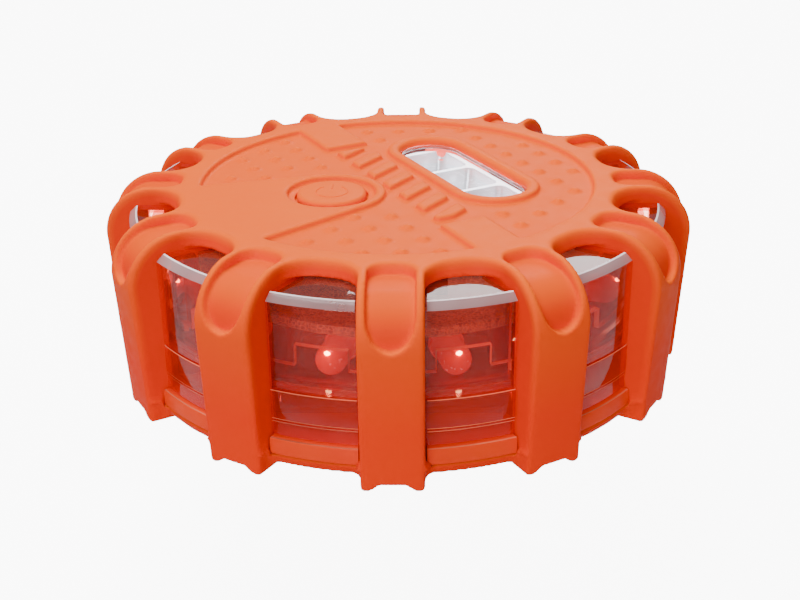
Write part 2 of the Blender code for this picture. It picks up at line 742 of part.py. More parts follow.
def wire(name, path, radius, mat, place, resolution):
    """A round wire along a path of points."""
    curve = bpy.data.curves.new(name, "CURVE")
    curve.dimensions = "3D"
    curve.bevel_depth = radius * MM
    curve.bevel_resolution = resolution
    curve.use_fill_caps = True
    spline = curve.splines.new("POLY")
    spline.points.add(len(path) - 1)
    for point, at in zip(spline.points, path):
        point.co = (*(place @ (Vector(at) * MM)), 1)
    curve.materials.append(mat)
    piece = bpy.data.objects.new(name, curve)
    bpy.context.scene.collection.objects.link(piece)
    return piece


def make_cells(mats):
    """Three cells side by side, the middle one turned round, each with its spring and its plate."""
    end = TRAY_HALF[1] - TRAY_WALL - GAP
    lay = Matrix.Rotation(math.pi / 2, 4, "X")
    for index in range(3):
        facing = Matrix.Rotation(math.pi if index == 1 else 0, 4, "Z")
        row = moved_to((index - 1) * CELL_PITCH, 0, CELL_Z) @ facing
        tail = row @ moved_to(0, end - SPRING_LENGTH - GAP) @ lay
        make(f"battery_{index + 1}", [lathe(cell_profile(), MEDIUM, tail)], mats["cell"])
        spring = row @ moved_to(0, end) @ lay
        wire(f"battery_spring_{index + 1}", spring_path(), SPRING_WIRE, mats["steel"], spring, 0)
        plate = prism(rectangle(3.8, 3.8), 0, PLATE_THICKNESS, row @ moved_to(0, PLATE_THICKNESS - end) @ lay)
        make(f"contact_plate_{index + 1}", [plate], mats["steel"])


# Underside -------------------------------------------------------------------------------------


def hook_path():
    """Folded flat: in from one socket, along one leg, round the magnet and back."""
    width = HOOK_HALF_WIDTH
    corner = arc((width + HOOK_BEND, HOOK_PIVOT_Y - HOOK_BEND), HOOK_BEND, 90, 180, 3)
    loop = arc((0, 0), width, 0, -90, 8)
    half = [(HOOK_END, HOOK_PIVOT_Y)] + corner + loop
    points = half + [(-x, y) for x, y in reversed(half[:-1])]
    return [(x, y, HOOK_Z) for x, y in points]


def make_battery_cover(mats):
    outline = rounded_rectangle(DOOR_HALF[0], DOOR_HALF[1], DOOR_CORNER)
    door = make("battery_cover", [prism(outline, BASE_BOTTOM, DOOR_TOP)], mats["orange"])
    inside = BASE_BOTTOM + 0.2
    ring = prism(circle(MAGNET_RADIUS + 2.0, MEDIUM), 0.9, inside)
    sockets = [(HOOK_END - 0.1, HOOK_PIVOT_Y), (0.1 - HOOK_END, HOOK_PIVOT_Y)]
    lugs = [prism(rectangle(1.4, 1.6), 0.4, inside, moved_to(*at)) for at in sockets]
    join(door, "door_details", [ring] + lugs)
    screws = [moved_to(0, -DOOR_SCREW_Y), moved_to(0, DOOR_SCREW_Y)]
    screw_hole = circle(DOOR_SCREW_RADIUS + GAP, 12)
    holes = [prism(screw_hole, 0, 20, screw) for screw in screws]
    cut(door, "door_holes", [prism(circle(MAGNET_RADIUS + GAP, MEDIUM), 0, BASE_BOTTOM)] + holes)
    lay = Matrix.Rotation(math.pi / 2, 4, "Y")
    bore = circle(HOOK_WIRE + GAP, 12)
    inner, outer = HOOK_END - 3, HOOK_END + GAP
    pivot = moved_to(0, HOOK_PIVOT_Y, HOOK_Z) @ lay
    cut(door, "hook_bores", [prism(bore, inner, outer, pivot), prism(bore, -outer, -inner, pivot)])
    seal_outline = rounded_rectangle(DOOR_HALF[0] - 0.1, DOOR_HALF[1] - 0.1, DOOR_CORNER)
    sheet = prism(seal_outline, DOOR_TOP + 0.15, DOOR_TOP + 0.55)
    seal = make("battery_cover_seal", [sheet], mats["seal"])
    bay = rectangle(TRAY_HALF[0] - 0.4, TRAY_HALF[1] - 0.4)
    cut(seal, "seal_holes", [prism(bay, 0, 20)] + holes)
    face, edge = MAGNET_FACE_Z, MAGNET_RADIUS
    disc = [(0, 2.6), (edge, 2.6), (edge, face + 0.3), (edge - 0.3, face), (0, face)]
    make("magnet", [lathe(disc, MEDIUM)], mats["steel"])


def make_hook(mats):
    """The fold-out wire hook; its origin is on the axis that it turns about."""
    centre = Matrix.Translation(-Vector((0, HOOK_PIVOT_Y, HOOK_Z)) * MM)
    hook = wire("hanging_hook", hook_path(), HOOK_WIRE, mats["steel"], centre, 1)
    hook.location = Vector((0, HOOK_PIVOT_Y, HOOK_Z)) * MM


def main():
    for old in list(bpy.data.objects):
        bpy.data.objects.remove(old, do_unlink=True)
    mats = make_materials()
    make_boot(mats)
    make_button(mats)
    make_upper_housing(mats)
    make_lower_housing(mats)
    make_base_plate(mats)
    make_screws(mats)
    make_board(mats)
    make_red_leds(mats)
    make_torch(mats)
    make_tray(mats)
    make_cells(mats)
    make_battery_cover(mats)
    make_hook(mats)


main()
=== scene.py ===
"""The looks of the LED safety flare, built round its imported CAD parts."""

import math

import bmesh
import bpy
import numpy as np
from mathutils import Matrix, Vector


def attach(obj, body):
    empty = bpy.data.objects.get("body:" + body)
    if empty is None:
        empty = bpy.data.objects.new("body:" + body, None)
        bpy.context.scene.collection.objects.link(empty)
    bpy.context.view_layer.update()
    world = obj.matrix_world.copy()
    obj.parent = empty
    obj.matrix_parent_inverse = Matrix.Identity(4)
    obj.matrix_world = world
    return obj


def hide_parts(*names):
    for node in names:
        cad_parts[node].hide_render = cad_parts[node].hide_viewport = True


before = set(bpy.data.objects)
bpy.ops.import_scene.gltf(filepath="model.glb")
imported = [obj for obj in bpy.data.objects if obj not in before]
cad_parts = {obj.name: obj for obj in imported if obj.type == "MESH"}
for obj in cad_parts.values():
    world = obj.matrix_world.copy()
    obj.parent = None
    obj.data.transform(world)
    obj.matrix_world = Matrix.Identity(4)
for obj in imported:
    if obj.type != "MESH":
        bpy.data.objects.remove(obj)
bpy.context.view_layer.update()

# Lengths are in millimetres until a mesh is made; MM turns them into metres.
MM = 0.001
ARM_COUNT = 12
ARM_STEP = 360 / ARM_COUNT
SHARP_FROM = math.radians(35)  # an edge that turns more than this stays sharp
CELL = 0.36  # size of the grid that the rubber cover is meshed on

# Rubber cover
TOP = 32.5
OUTER = 51.0
SHOULDER = 8.6
FOOT = 49.7
ARM_HALF = 4.9
SCOOP_HALF = 3.65
SCOOP_BACK = 37.4
SCOOP_FLOOR_Z = 30.7
SCOOP_BEND = (43.3, 6.3)  # where the floor starts to fall, and its radius
SCOOP_TIP = (29.5, 5.6)  # middle and half height of the tip's ellipse
DISC = 34.0
DISC_Z = 31.6
WINDOW_TOP = 37.5
WINDOW_CORNER = 4.2
SILL = 3.05
RING_FOOT = (46.4, 1.2)

# Top features
BAND_ANGLE = 28.2
BAND_SIDE, BAND_HALF = 0.25, 4.15
BAND_BACK, BAND_FRONT = -21.2, 22.8
BUTTON = (-11.0, -6.3)
BUTTON_RADIUS = 5.95
BUTTON_MOAT = 7.5
WEDGE_RADIUS = 9.2
WEDGE_SLOPES = (15.3, 42.9)
TORCH = (-0.7, 13.2)
TORCH_HALF = (17.0, 5.7)
TORCH_LIP = 2.2
DOT_START = (-3.9, -21.9)
DOT_STEPS = ((6.05, 0.33), (2.65, -4.95))
DOT_RADIUS = 1.1
DOT_SINK = 0.42
BAR_PITCH, BAR_WIDTH, BAR_SLANT = 6.2, 3.0, 0.55

# Housing and the parts in it, as in the CAD
WALL = 46.4
INNER = 43.0
HOUSING_TOP = 29.6
SEAM = 14.0
BASE = 2.9  # underside of the base plate and the battery door
ARM_CHANNEL = (5.2, 36.2, 45.0, 28.2)  # half width, start, depth and floor of the cut under an arm
SCREW_CIRCLE, SCREW_ANGLES = 40.4, (30, 120, 210, 300)
POST_CIRCLE, POST_ANGLES = 29.3, (0, 90, 240)
DOOR_SCREWS = (-28.9, 28.9)
LAMP_START, LAMP_Z = 31.2, 15.6
CUP_PITCH = 11.0
MAGNET_RADIUS = 10.0
HOOK_PIVOT = (17.0, 22.5, 1.75)
HOOK_BEND, HOOK_WIRE = 14.2, 0.8

# Colours of the rubber: top face with painted light, upper and lower side, patches, hollows in painted shade
# from above and from the side
RUBBER_TOP_PAINTED_LIGHT = (0.96, 0.128, 0.001)
RUBBER_HIGH = (0.95, 0.088, 0.001)
RUBBER_LOW = (0.94, 0.034, 0.001)
RUBBER_SHADE = (0.88, 0.075, 0.001)
RUBBER_PAINTED_SHADE_TOP = (0.88, 0.095, 0.001)
RUBBER_PAINTED_SHADE_SIDE = (0.85, 0.030, 0.001)

# Stage: brightness as a light, and as the camera sees it; height of the floor in millimetres
WORLD_LIGHT, WORLD_SEEN, FLOOR_SEEN = 0.35, 12.0, 9.0
FLOOR_Z = -36.0


# Plane shapes as distance fields ---------------------------------------------------------------


def deep(a, b, radius):
    """The overlap of two shapes, with its outward corners rounded."""
    plain = np.minimum(-radius, np.maximum(a, b))
    return plain + np.hypot(np.maximum(a + radius, 0), np.maximum(b + radius, 0))


def band_axes(x, y):
    """Position along the band, and square to it towards the torch."""
    lean = math.radians(BAND_ANGLE)
    return x * math.sin(lean) - y * math.cos(lean), x * math.cos(lean) + y * math.sin(lean)


def stadium(x, y, half_length, half_width):
    along, side = band_axes(x, y)
    reach = half_length - half_width
    beyond = np.maximum(np.abs(along - TORCH[0]) - reach, 0)
    return np.hypot(beyond, side - TORCH[1]) - half_width


def wedge(x, y):
    """The smooth panel from round the button out to the rim."""
    dx, dy = x - BUTTON[0], y - BUTTON[1]
    upper, lower = (math.radians(s) for s in WEDGE_SLOPES)
    over = -dx * math.sin(upper) + dy * math.cos(upper) - WEDGE_RADIUS
    under = dx * math.sin(lower) - dy * math.cos(lower) - WEDGE_RADIUS
    fan = np.maximum(over, under)
    along = -(dx * math.cos((upper + lower) / 2) + dy * math.sin((upper + lower) / 2))
    fan = np.maximum(fan, -along)
    return np.minimum(fan, np.hypot(dx, dy) - WEDGE_RADIUS)


def band_raised(x, y):
    """The band's plain ends and the slanted bars between them."""
    along, side = band_axes(x, y)
    across = np.abs(side - BAND_SIDE) - BAND_HALF
    ends = np.maximum(across, np.minimum(along - BAND_BACK, BAND_FRONT - along))
    shifted = along + BAR_SLANT * (side - BAND_SIDE)
    middle = np.round(shifted / BAR_PITCH) * BAR_PITCH
    slope = math.hypot(1, BAR_SLANT)
    bars = (np.abs(shifted - middle) - BAR_WIDTH / 2) / slope
    inside = np.maximum(BAND_BACK + 2.6 - along, along - BAND_FRONT + 2.6)
    bars = np.maximum(np.maximum(bars, across + 0.9), inside)
    return np.minimum(ends, bars)


def sunk_fields(x, y):
    """Where the disc is sunk: negative inside."""
    raised = np.minimum(band_raised(x, y), wedge(x, y))
    raised = np.minimum(raised, stadium(x, y, TORCH_HALF[0] + TORCH_LIP, TORCH_HALF[1] + TORCH_LIP))
    return np.maximum(np.hypot(x, y) - DISC, -raised)


def dot_centres():
    """The raised dots follow one slanted grid wherever the disc is sunk and has room for them."""
    (ax, ay), (bx, by) = DOT_STEPS
    centres = []
    for i in range(-12, 13):
        for j in range(-12, 13):
            x = DOT_START[0] + i * ax + j * bx
            y = DOT_START[1] + i * ay + j * by
            side = band_axes(x, y)[1] - BAND_SIDE
            if sunk_fields(np.float64(x), np.float64(y)) < -1.5 and abs(side) > BAND_HALF + 1.2:
                centres.append((x, y))
    return centres


# Rubber cover ----------------------------------------------------------------------------------


def cover_outer(r, z):
    corner = np.hypot(r - (OUTER - SHOULDER), z - (TOP - SHOULDER)) - SHOULDER
    lean = math.hypot(TOP - SHOULDER, OUTER - FOOT)
    side = ((r - OUTER) * (TOP - SHOULDER) - (z - TOP + SHOULDER) * (OUTER - FOOT)) / lean
    upper = np.where(r > OUTER - SHOULDER, corner, z - TOP)
    return deep(np.where(z > TOP - SHOULDER, upper, side), -z, 0.5)


def cover_side_cuts(u, r, z):
    """Everything that is cut away between two arms: the window, and what lies beside and under the ring."""
    between = ARM_HALF - u
    back = WINDOW_TOP + np.clip(TOP - z, 0, 4) * 0.45
    window = deep(deep(between, back - r, WINDOW_CORNER), SILL - z, 2.0)
    ring = RING_FOOT[0] + (z - RING_FOOT[1]) * 0.55 - r
    beside = np.maximum(deep(between, ring, 1.6), z - SILL - 0.4)
    under = deep(between, z - RING_FOOT[1], 1.0)
    return np.minimum(window, np.minimum(beside, under))


def cover_hollow(u, r, z):
    """The space for the housing, less the strips under the arms."""
    bulk = np.maximum(np.maximum(r - 46.7, z - 29.9), (r + z - 75.4) / math.sqrt(2))
    bulk = np.maximum(bulk, 2.9 - z)
    flange = np.maximum(r - 47.5, np.maximum(z - 6.2, 2.9 - z))
    plate = np.maximum(r - 45.8, np.maximum(z - 5.0, 2.6 - z))
    mouth = np.maximum(r - 43.5, np.maximum(z - 5.0, -5.0 - z))
    space = np.minimum(np.minimum(bulk, flange), np.minimum(plate, mouth))
    strip = np.maximum(np.maximum(u - ARM_HALF, 36.5 - r), -np.maximum(r - 45.3, z - 28.5))
    return np.maximum(space, -np.maximum(strip, 2.6 - z))


def scoop(a, u, z):
    """The finger scoop on an arm: straight walls, a floor that falls over the shoulder, a round tip."""
    bend, radius = SCOOP_BEND
    middle = SCOOP_FLOOR_Z - radius
    fall = radius - np.hypot(a - bend, np.maximum(z - middle, 0))
    floor = np.where(a > bend, fall, SCOOP_FLOOR_Z - z)
    plan = deep(u - SCOOP_HALF, SCOOP_BACK + (TOP - z) * 0.45 + u * u * 0.04 - a, 2.2)
    low = np.maximum(SCOOP_TIP[0] - z, 0) * SCOOP_HALF / SCOOP_TIP[1]
    return deep(np.maximum(plan, np.hypot(u, low) - SCOOP_HALF), floor, 0.25)


def foot_arch(a, u, z):
    arch = np.maximum(z - 1.2, (u - 2.0 - (1.2 - z) * 1.25) * 0.62)
    return np.maximum(arch, 40.0 - a)


def top_cuts(x, y, z):
    """Sunk fields, the button's moat and hole, and the torch opening."""
    centre = np.hypot(x - BUTTON[0], y - BUTTON[1])
    fields = deep(sunk_fields(x, y), DISC_Z - z, 0.35)
    moat = deep(centre - BUTTON_MOAT, DISC_Z - 0.05 - z, 0.3)
    hole = np.maximum(centre - BUTTON_RADIUS - 0.28, 28 - z)
    pocket = np.maximum(centre - BUTTON_MOAT - 0.2, np.maximum(28 - z, z - 31.05))
    torch = np.maximum(stadium(x, y, *TORCH_HALF), 28 - z)
    seat = stadium(x, y, TORCH_HALF[0] + 1.7, TORCH_HALF[1] + 1.7)
    seat = np.maximum(seat, np.maximum(28 - z, z - 30.8))
    soft = np.minimum(fields, moat)
    return soft, torch, np.minimum(hole, np.minimum(pocket, seat))


def cover_field(x, y, z):
    """Distance to the rubber cover's surface, negative in the rubber."""
    r = np.hypot(x, y)
    angle = np.arctan2(x, -y)
    step = math.radians(ARM_STEP)
    folded = angle - np.round(angle / step) * step
    a, u = r * np.cos(folded), np.abs(r * np.sin(folded))
    field = cover_outer(r, z)
    field = deep(field, -cover_side_cuts(u, r, z), 0.55)
    field = np.maximum(field, -cover_hollow(u, r, z))
    field = deep(field, -scoop(a, u, z), 0.22)
    field = deep(field, -foot_arch(a, u, z), 0.3)
    soft, torch, sharp = top_cuts(x, y, z)
    field = deep(field, -soft, 0.35)
    field = deep(field, -torch, 0.9)
    return np.maximum(field, -sharp)


def sample_grid(field, low, high, step):
    """The field's values on a box of points, one slice at a time."""
    axes = [np.arange(a, b + step, step, dtype=np.float64) for a, b in zip(low, high)]
    x, y = np.meshgrid(axes[0], axes[1], indexing="ij")
    values = np.stack([field(x, y, np.float64(z)) for z in axes[2]], axis=2)
    return axes, values


def add_dots(axes, values):
    """Blends the small domes into the sampled field."""
    for cx, cy in dot_centres():
        spans = [slice(*np.searchsorted(axis, (c - 2.5, c + 2.5))) for axis, c in zip(axes, (cx, cy))]
        spans.append(slice(*np.searchsorted(axes[2], (DISC_Z - 1.5, DISC_Z + 1.5))))
        x, y, z = np.meshgrid(*[axis[span] for axis, span in zip(axes, spans)], indexing="ij")
        dome = np.sqrt((x - cx) ** 2 + (y - cy) ** 2 + (z - DISC_Z + DOT_SINK) ** 2) - DOT_RADIUS
        near = values[tuple(spans)]
        values[tuple(spans)] = -deep(-near, -dome, 0.25)


CUBE = np.array([[i, j, k] for i in (0, 1) for j in (0, 1) for k in (0, 1)])
CUBE_EDGES = [(a, b) for a in range(8) for b in range(a + 1, 8) if np.abs(CUBE[a] - CUBE[b]).sum() == 1]


def net_points(values, cells):
    """One point per cell: the mean of where the surface crosses the cell's edges."""
    corners = np.stack([values[tuple((cells + c).T)] for c in CUBE], axis=1)
    total = np.zeros((len(cells), 3))
    count = np.zeros(len(cells))
    for a, b in CUBE_EDGES:
        first, second = corners[:, a], corners[:, b]
        crossing = (first < 0) != (second < 0)
        share = np.where(crossing, first / np.where(crossing, first - second, 1), 0)
        point = CUBE[a] + share[:, None] * (CUBE[b] - CUBE[a])
        total += point * crossing[:, None]
        count += crossing
    return cells + total / count[:, None]


def net_quads(inside, index):
    """A quad round every grid edge that the surface crosses."""
    quads = []
    for axis in range(3):
        second, third = (axis + 1) % 3, (axis + 2) % 3
        ahead = np.roll(inside, -1, axis)
        edges = np.argwhere(inside != ahead)
        edges = edges[edges[:, axis] < inside.shape[axis] - 1]
        edges = edges[(edges[:, second] > 0) & (edges[:, third] > 0)]
        step2, step3 = np.eye(3, dtype=int)[second], np.eye(3, dtype=int)[third]
        cells = [edges, edges - step2, edges - step2 - step3, edges - step3]
        quad = np.stack([index[tuple(cell.T)] for cell in cells], axis=1)
        flip = inside[tuple(edges.T)] == 0
        quad[flip] = quad[flip][:, ::-1]
        quads.append(quad)
    return np.concatenate(quads)


def surface_net(axes, values):
    """Meshes the zero surface with one point per crossed cell."""
    inside = (values < 0).astype(np.int8)
    sums = sum(inside[i : i - 1 or None, j : j - 1 or None, k : k - 1 or None] for i, j, k in CUBE)
    cells = np.argwhere((sums > 0) & (sums < 8))
    index = np.full(inside.shape, -1, np.int64)
    index[tuple(cells.T)] = np.arange(len(cells))
    points = net_points(values, cells)
    origin = np.array([axis[0] for axis in axes])
    return origin + points * (axes[0][1] - axes[0][0]), net_quads(inside, index)


def mesh_object(name, points, faces):
    """A smooth mesh object from arrays; points are in millimetres."""
    mesh = bpy.data.meshes.new(name)
    mesh.from_pydata((np.asarray(points) * MM).tolist(), [], np.asarray(faces).tolist())
    mesh.shade_smooth()
    piece = bpy.data.objects.new(name, mesh)
    bpy.context.scene.collection.objects.link(piece)
    return piece


def make_cover():
    low, high = (-51.9, -51.9, -0.9), (51.9, 51.9, 33.2)
    axes, values = sample_grid(cover_field, low, high, CELL)
    add_dots(axes, values)
    points, quads = surface_net(axes, values)
    cover = mesh_object("rubber_cover_skin", points, quads)
    # Depth of each point under the outer surface, which the rubber material uses to paint shade in the
    # hollows.
    below = -cover_outer(np.hypot(points[:, 0], points[:, 1]), points[:, 2])
    sunk = cover.data.attributes.new("sunk", "FLOAT", "POINT")
    sunk.data.foreach_set("value", np.maximum(below, 0).astype(np.float32))
    return cover


# Solid shapes ----------------------------------------------------------------------------------


def arc(centre, radius, start, end, steps):
    angles = [math.radians(start + (end - start) * i / steps) for i in range(steps + 1)]
    return [(centre[0] + radius * math.cos(a), centre[1] + radius * math.sin(a)) for a in angles]


def circle(radius, segments):
    start = 90 / segments
    return arc((0, 0), radius, start, start + 360, segments)[:-1]


def slot_outline(half_length, half_width):
    steps = 24
    reach = half_length - half_width
    return arc((reach, 0), half_width, -90, 90, steps) + arc((-reach, 0), half_width, 90, 270, steps)


def rectangle(half_x, half_y):
    return [(half_x, half_y), (-half_x, half_y), (-half_x, -half_y), (half_x, -half_y)]


def rounded_rectangle(half_x, half_y, corner, steps=8):
    x, y = half_x - corner, half_y - corner
    corners = ((x, y, 0), (-x, y, 90), (-x, -y, 180), (x, -y, 270))
    return [point for cx, cy, a in corners for point in arc((cx, cy), corner, a, a + 90, steps)]


def turned_by(angle):
    """Turns +Y to the direction that is this many degrees from -Y towards +X."""
    return Matrix.Rotation(math.radians(angle + 180), 4, "Z")


def arm(index):
    return turned_by(index * ARM_STEP)


def window(index):
    return turned_by((index + 0.5) * ARM_STEP)


def on_circle(radius, angle):
    return (radius * math.sin(math.radians(angle)), -radius * math.cos(math.radians(angle)))


def moved_to(x, y, z=0.0):
    return Matrix.Translation((x, y, z))


def torch_place(along=0.0):
    turn = Matrix.Rotation(math.radians(BAND_ANGLE - 90), 4, "Z")
    return turn @ moved_to(TORCH[0] + along, TORCH[1])


def lathe(profile, segments=96, place=Matrix()):
    """Spins an outline of (radius, height) points around Z; points at radius 0 close the ends."""
    verts = []
    rings = []
    for radius, height in profile:
        count = 1 if radius == 0 else segments
        rings.append(range(len(verts), len(verts) + count))
        for i in range(count):
            angle = math.tau * (i + 0.5) / segments
            verts.append(place @ Vector((radius * math.cos(angle), radius * math.sin(angle), height)))
    faces = []
    for ring, other in zip(rings, rings[1:] + rings[:1]):
        if len(ring) == len(other) == 1:
            continue
        for i in range(segments):
            corners = [ring[i % len(ring)], ring[(i + 1) % len(ring)]]
            corners += [other[(i + 1) % len(other)], other[i % len(other)]]
            faces.append(list(dict.fromkeys(corners)))
    return verts, faces


def prism(outline, low, high, place=Matrix()):
    count = len(outline)
    verts = [place @ Vector((x, y, z)) for z in (low, high) for x, y in outline]
    faces = [list(range(count)), list(range(count, 2 * count))]
    faces += [[i, (i + 1) % count, (i + 1) % count + count, i + count] for i in range(count)]
    return verts, faces


def rib(outline, half_width, place=Matrix()):
    """A plate cut to an outline of (distance along +Y, height) points, standing upright."""
    stand = Matrix(((0, 0, 1, 0), (1, 0, 0, 0), (0, 1, 0, 0), (0, 0, 0, 1)))
    return prism(outline, -half_width, half_width, place @ stand)


def tube(path, radius, sides=12, place=Matrix()):
    """A round wire along a path, with flat ends."""
    points = [place @ Vector(p) for p in path]
    verts = []
    side = None
    for i, point in enumerate(points):
        ahead = (points[min(i + 1, len(points) - 1)] - points[max(i - 1, 0)]).normalized()
        if side is None:
            side = ahead.orthogonal().normalized()
        side = (side - ahead * side.dot(ahead)).normalized()
        up = ahead.cross(side)
        for j in range(sides):
            angle = math.tau * j / sides
            verts.append(point + radius * (side * math.cos(angle) + up * math.sin(angle)))
    faces = [list(range(sides)), list(range(len(verts) - sides, len(verts)))]
    for i in range(len(points) - 1):
        for j in range(sides):
            a, b = i * sides + j, i * sides + (j + 1) % sides
            faces.append([a, b, b + sides, a + sides])
    return verts, faces


def loft(rings):
    """A closed body through rings with the same number of points each."""
    size = len(rings[0])
    verts = [point for ring in rings for point in ring]
    faces = [list(range(size)), list(range(len(verts) - 1, len(verts) - size - 1, -1))]
    for level in range(len(rings) - 1):
        low, high = level * size, (level + 1) * size
        faces += [[low + i, high + i, high + (i + 1) % size, low + (i + 1) % size] for i in range(size)]
    return verts, faces


def solid(name, parts):
    """A mesh object from (body, material) pairs, facing out, smooth where its faces meet gently."""
    mesh = bpy.data.meshes.new(name)
    verts = []
    faces = []
    slots = []
    for (body_verts, body_faces), finish in parts:
        faces += [[i + len(verts) for i in face] for face in body_faces]
        verts += [vert * MM for vert in body_verts]
        if finish and finish.name not in mesh.materials:
            mesh.materials.append(finish)
        slots += [mesh.materials.find(finish.name) if finish else 0] * len(body_faces)
    mesh.from_pydata(verts, [], faces)
    mesh.polygons.foreach_set("material_index", slots)
    bm = bmesh.new()
    bm.from_mesh(mesh)
    bmesh.ops.recalc_face_normals(bm, faces=bm.faces)
    bm.to_mesh(mesh)
    bm.free()
    mesh.shade_smooth()
    mesh.set_sharp_from_angle(angle=SHARP_FROM)
    piece = bpy.data.objects.new(name, mesh)
    bpy.context.scene.collection.objects.link(piece)
    return piece


def carve(piece, *steps):
    """Cuts or joins bodies one step after another and leaves one plain mesh."""
    for number, (operation, bodies) in enumerate(steps):
        tool = solid(f"{piece.name}_tool_{number}", [(body, None) for body in bodies])
        boolean = piece.modifiers.new(tool.name, "BOOLEAN")
        boolean.operation = operation
        boolean.object = tool
        boolean.material_mode = "INDEX"
        graph = bpy.context.evaluated_depsgraph_get()
        carved = bpy.data.meshes.new_from_object(piece.evaluated_get(graph))
        piece.modifiers.clear()
        piece.data = carved
        bpy.data.objects.remove(tool, do_unlink=True)
    piece.data.set_sharp_from_angle(angle=SHARP_FROM)


def soften(piece, width):
    """Rounds the piece's sharp edges."""
    bevel = piece.modifiers.new("soft_edges", "BEVEL")
    bevel.width = width * MM
    bevel.segments = 2
    bevel.limit_method = "ANGLE"
    bevel.angle_limit = math.radians(40)
    bevel.harden_normals = False


def around(shape):
    return [shape(index) for index in range(ARM_COUNT)]


def pins(radius, low, high, circle_radius, angles):
    outline = circle(radius, 24)
    return [prism(outline, low, high, moved_to(*on_circle(circle_radius, a))) for a in angles]


def stand_for(piece, node, body="flare_body"):
    """Shows the piece in place of a CAD node and lets it move with its body."""
    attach(piece, body)
    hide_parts(node)


# Materials -------------------------------------------------------------------------------------


class Nodes:
    """A material's node tree, with short ways to add and join nodes."""

    def __init__(self, name):
        self.material = bpy.data.materials.new(name)
        self.material.use_nodes = True
        self.tree = self.material.node_tree
        self.shader = self.tree.nodes["Principled BSDF"]
        self.output = self.tree.nodes["Material Output"]
        self.place = self.tree.nodes.new("ShaderNodeTexCoord").outputs["Object"]

    def add(self, kind, inputs=(), **settings):
        node = self.tree.nodes.new("ShaderNode" + kind)
        for key, value in settings.items():
            setattr(node, key, value)
        for key, value in dict(inputs).items():
            if isinstance(value, bpy.types.NodeSocket):
                self.tree.links.new(value, node.inputs[key])
            else:
                node.inputs[key].default_value = value
        return node

    def noise(self, scale, detail=3.0):
        settings = {"Vector": self.place, "Scale": scale, "Detail": detail}
        return self.add("TexNoise", settings).outputs["Fac"]

    def spread(self, value, low, high, start=0.3, end=0.7):
        """Maps a value onto a range."""
        inputs = {"Value": value, "From Min": start, "From Max": end, "To Min": low, "To Max": high}
        return self.add("MapRange", inputs).outputs["Result"]

    def blend(self, share, first, second):
        node = self.add("Mix", data_type="RGBA")
        for socket, value in ((node.inputs[0], share), (node.inputs[6], first), (node.inputs[7], second)):
            if isinstance(value, bpy.types.NodeSocket):
                self.tree.links.new(value, socket)
            elif isinstance(value, tuple):
                socket.default_value = (*value, 1)
            else:
                socket.default_value = value
        return node.outputs[2]

    def drive(self, socket, value):
        self.tree.links.new(value, self.shader.inputs[socket])

    def bump(self, height, distance, strength=1.0):
        inputs = {"Height": height, "Distance": distance * MM, "Strength": strength}
        self.drive("Normal", self.add("Bump", inputs).outputs["Normal"])

    def set(self, **values):
        for key, value in values.items():
            socket = self.shader.inputs[key.replace("_", " ")]
            socket.default_value = (*value, 1) if isinstance(value, tuple) else value


def moulded(name, colour, shade, roughness, grain=900, bump=0.02, metallic=0.0, glow=0.0, shine=0.3):
    """A moulded or rolled surface: two close colours in soft patches, uneven gloss, a fine grain."""
    nodes = Nodes(name)
    patches = nodes.spread(nodes.noise(90), 0, 1)
    tone = nodes.blend(patches, colour, shade)
    nodes.drive("Base Color", tone)
    nodes.drive("Roughness", nodes.spread(nodes.noise(260), roughness * 0.85, roughness * 1.15))
    nodes.bump(nodes.noise(grain, 2.0), bump)
    nodes.set(Metallic=metallic, IOR=1.5, Specular_IOR_Level=shine)
    if glow:
        nodes.drive("Emission Color", tone)
        nodes.set(Emission_Strength=glow)
    return nodes.material


def rubber_material():
    """Translucent orange rubber: paler on top as painted light, deeper and redder down the sides, and deeper
    in the hollows as painted shade.
    """
    nodes = Nodes("orange_rubber_skin")
    geometry = nodes.add("NewGeometry")
    facing = nodes.add("SeparateXYZ", {"Vector": geometry.outputs["Normal"]}).outputs["Z"]
    height = nodes.add("SeparateXYZ", {"Vector": nodes.place}).outputs["Z"]
    side = nodes.blend(nodes.spread(height, 0, 1, 0.010, 0.030), RUBBER_LOW, RUBBER_HIGH)
    # Painted light: faces that turn upwards take the paler top colour.
    upward = nodes.add("MapRange", {"Value": facing, "From Min": 0.30, "From Max": 0.98})
    upward.interpolation_type = "SMOOTHSTEP"
    tone = nodes.blend(upward.outputs["Result"], side, RUBBER_TOP_PAINTED_LIGHT)
    # Painted shade: the deeper a point lies under the outer surface, the darker its colour.
    sunk = nodes.add("Attribute", attribute_name="sunk").outputs["Fac"]
    painted_shade_tone = nodes.blend(upward.outputs["Result"], RUBBER_PAINTED_SHADE_SIDE, RUBBER_PAINTED_SHADE_TOP)
    tone = nodes.blend(nodes.spread(sunk, 0, 1, 0.5, 1.5), tone, painted_shade_tone)
    patches = nodes.spread(nodes.noise(70, 4.0), 0.0, 0.16)
    nodes.drive("Base Color", nodes.blend(patches, tone, RUBBER_SHADE))
    nodes.drive("Roughness", nodes.spread(nodes.noise(400), 0.40, 0.52))
    nodes.bump(nodes.noise(1400, 2.0), 0.012)
    nodes.set(IOR=1.42, Specular_IOR_Level=0.04)
    return nodes.material


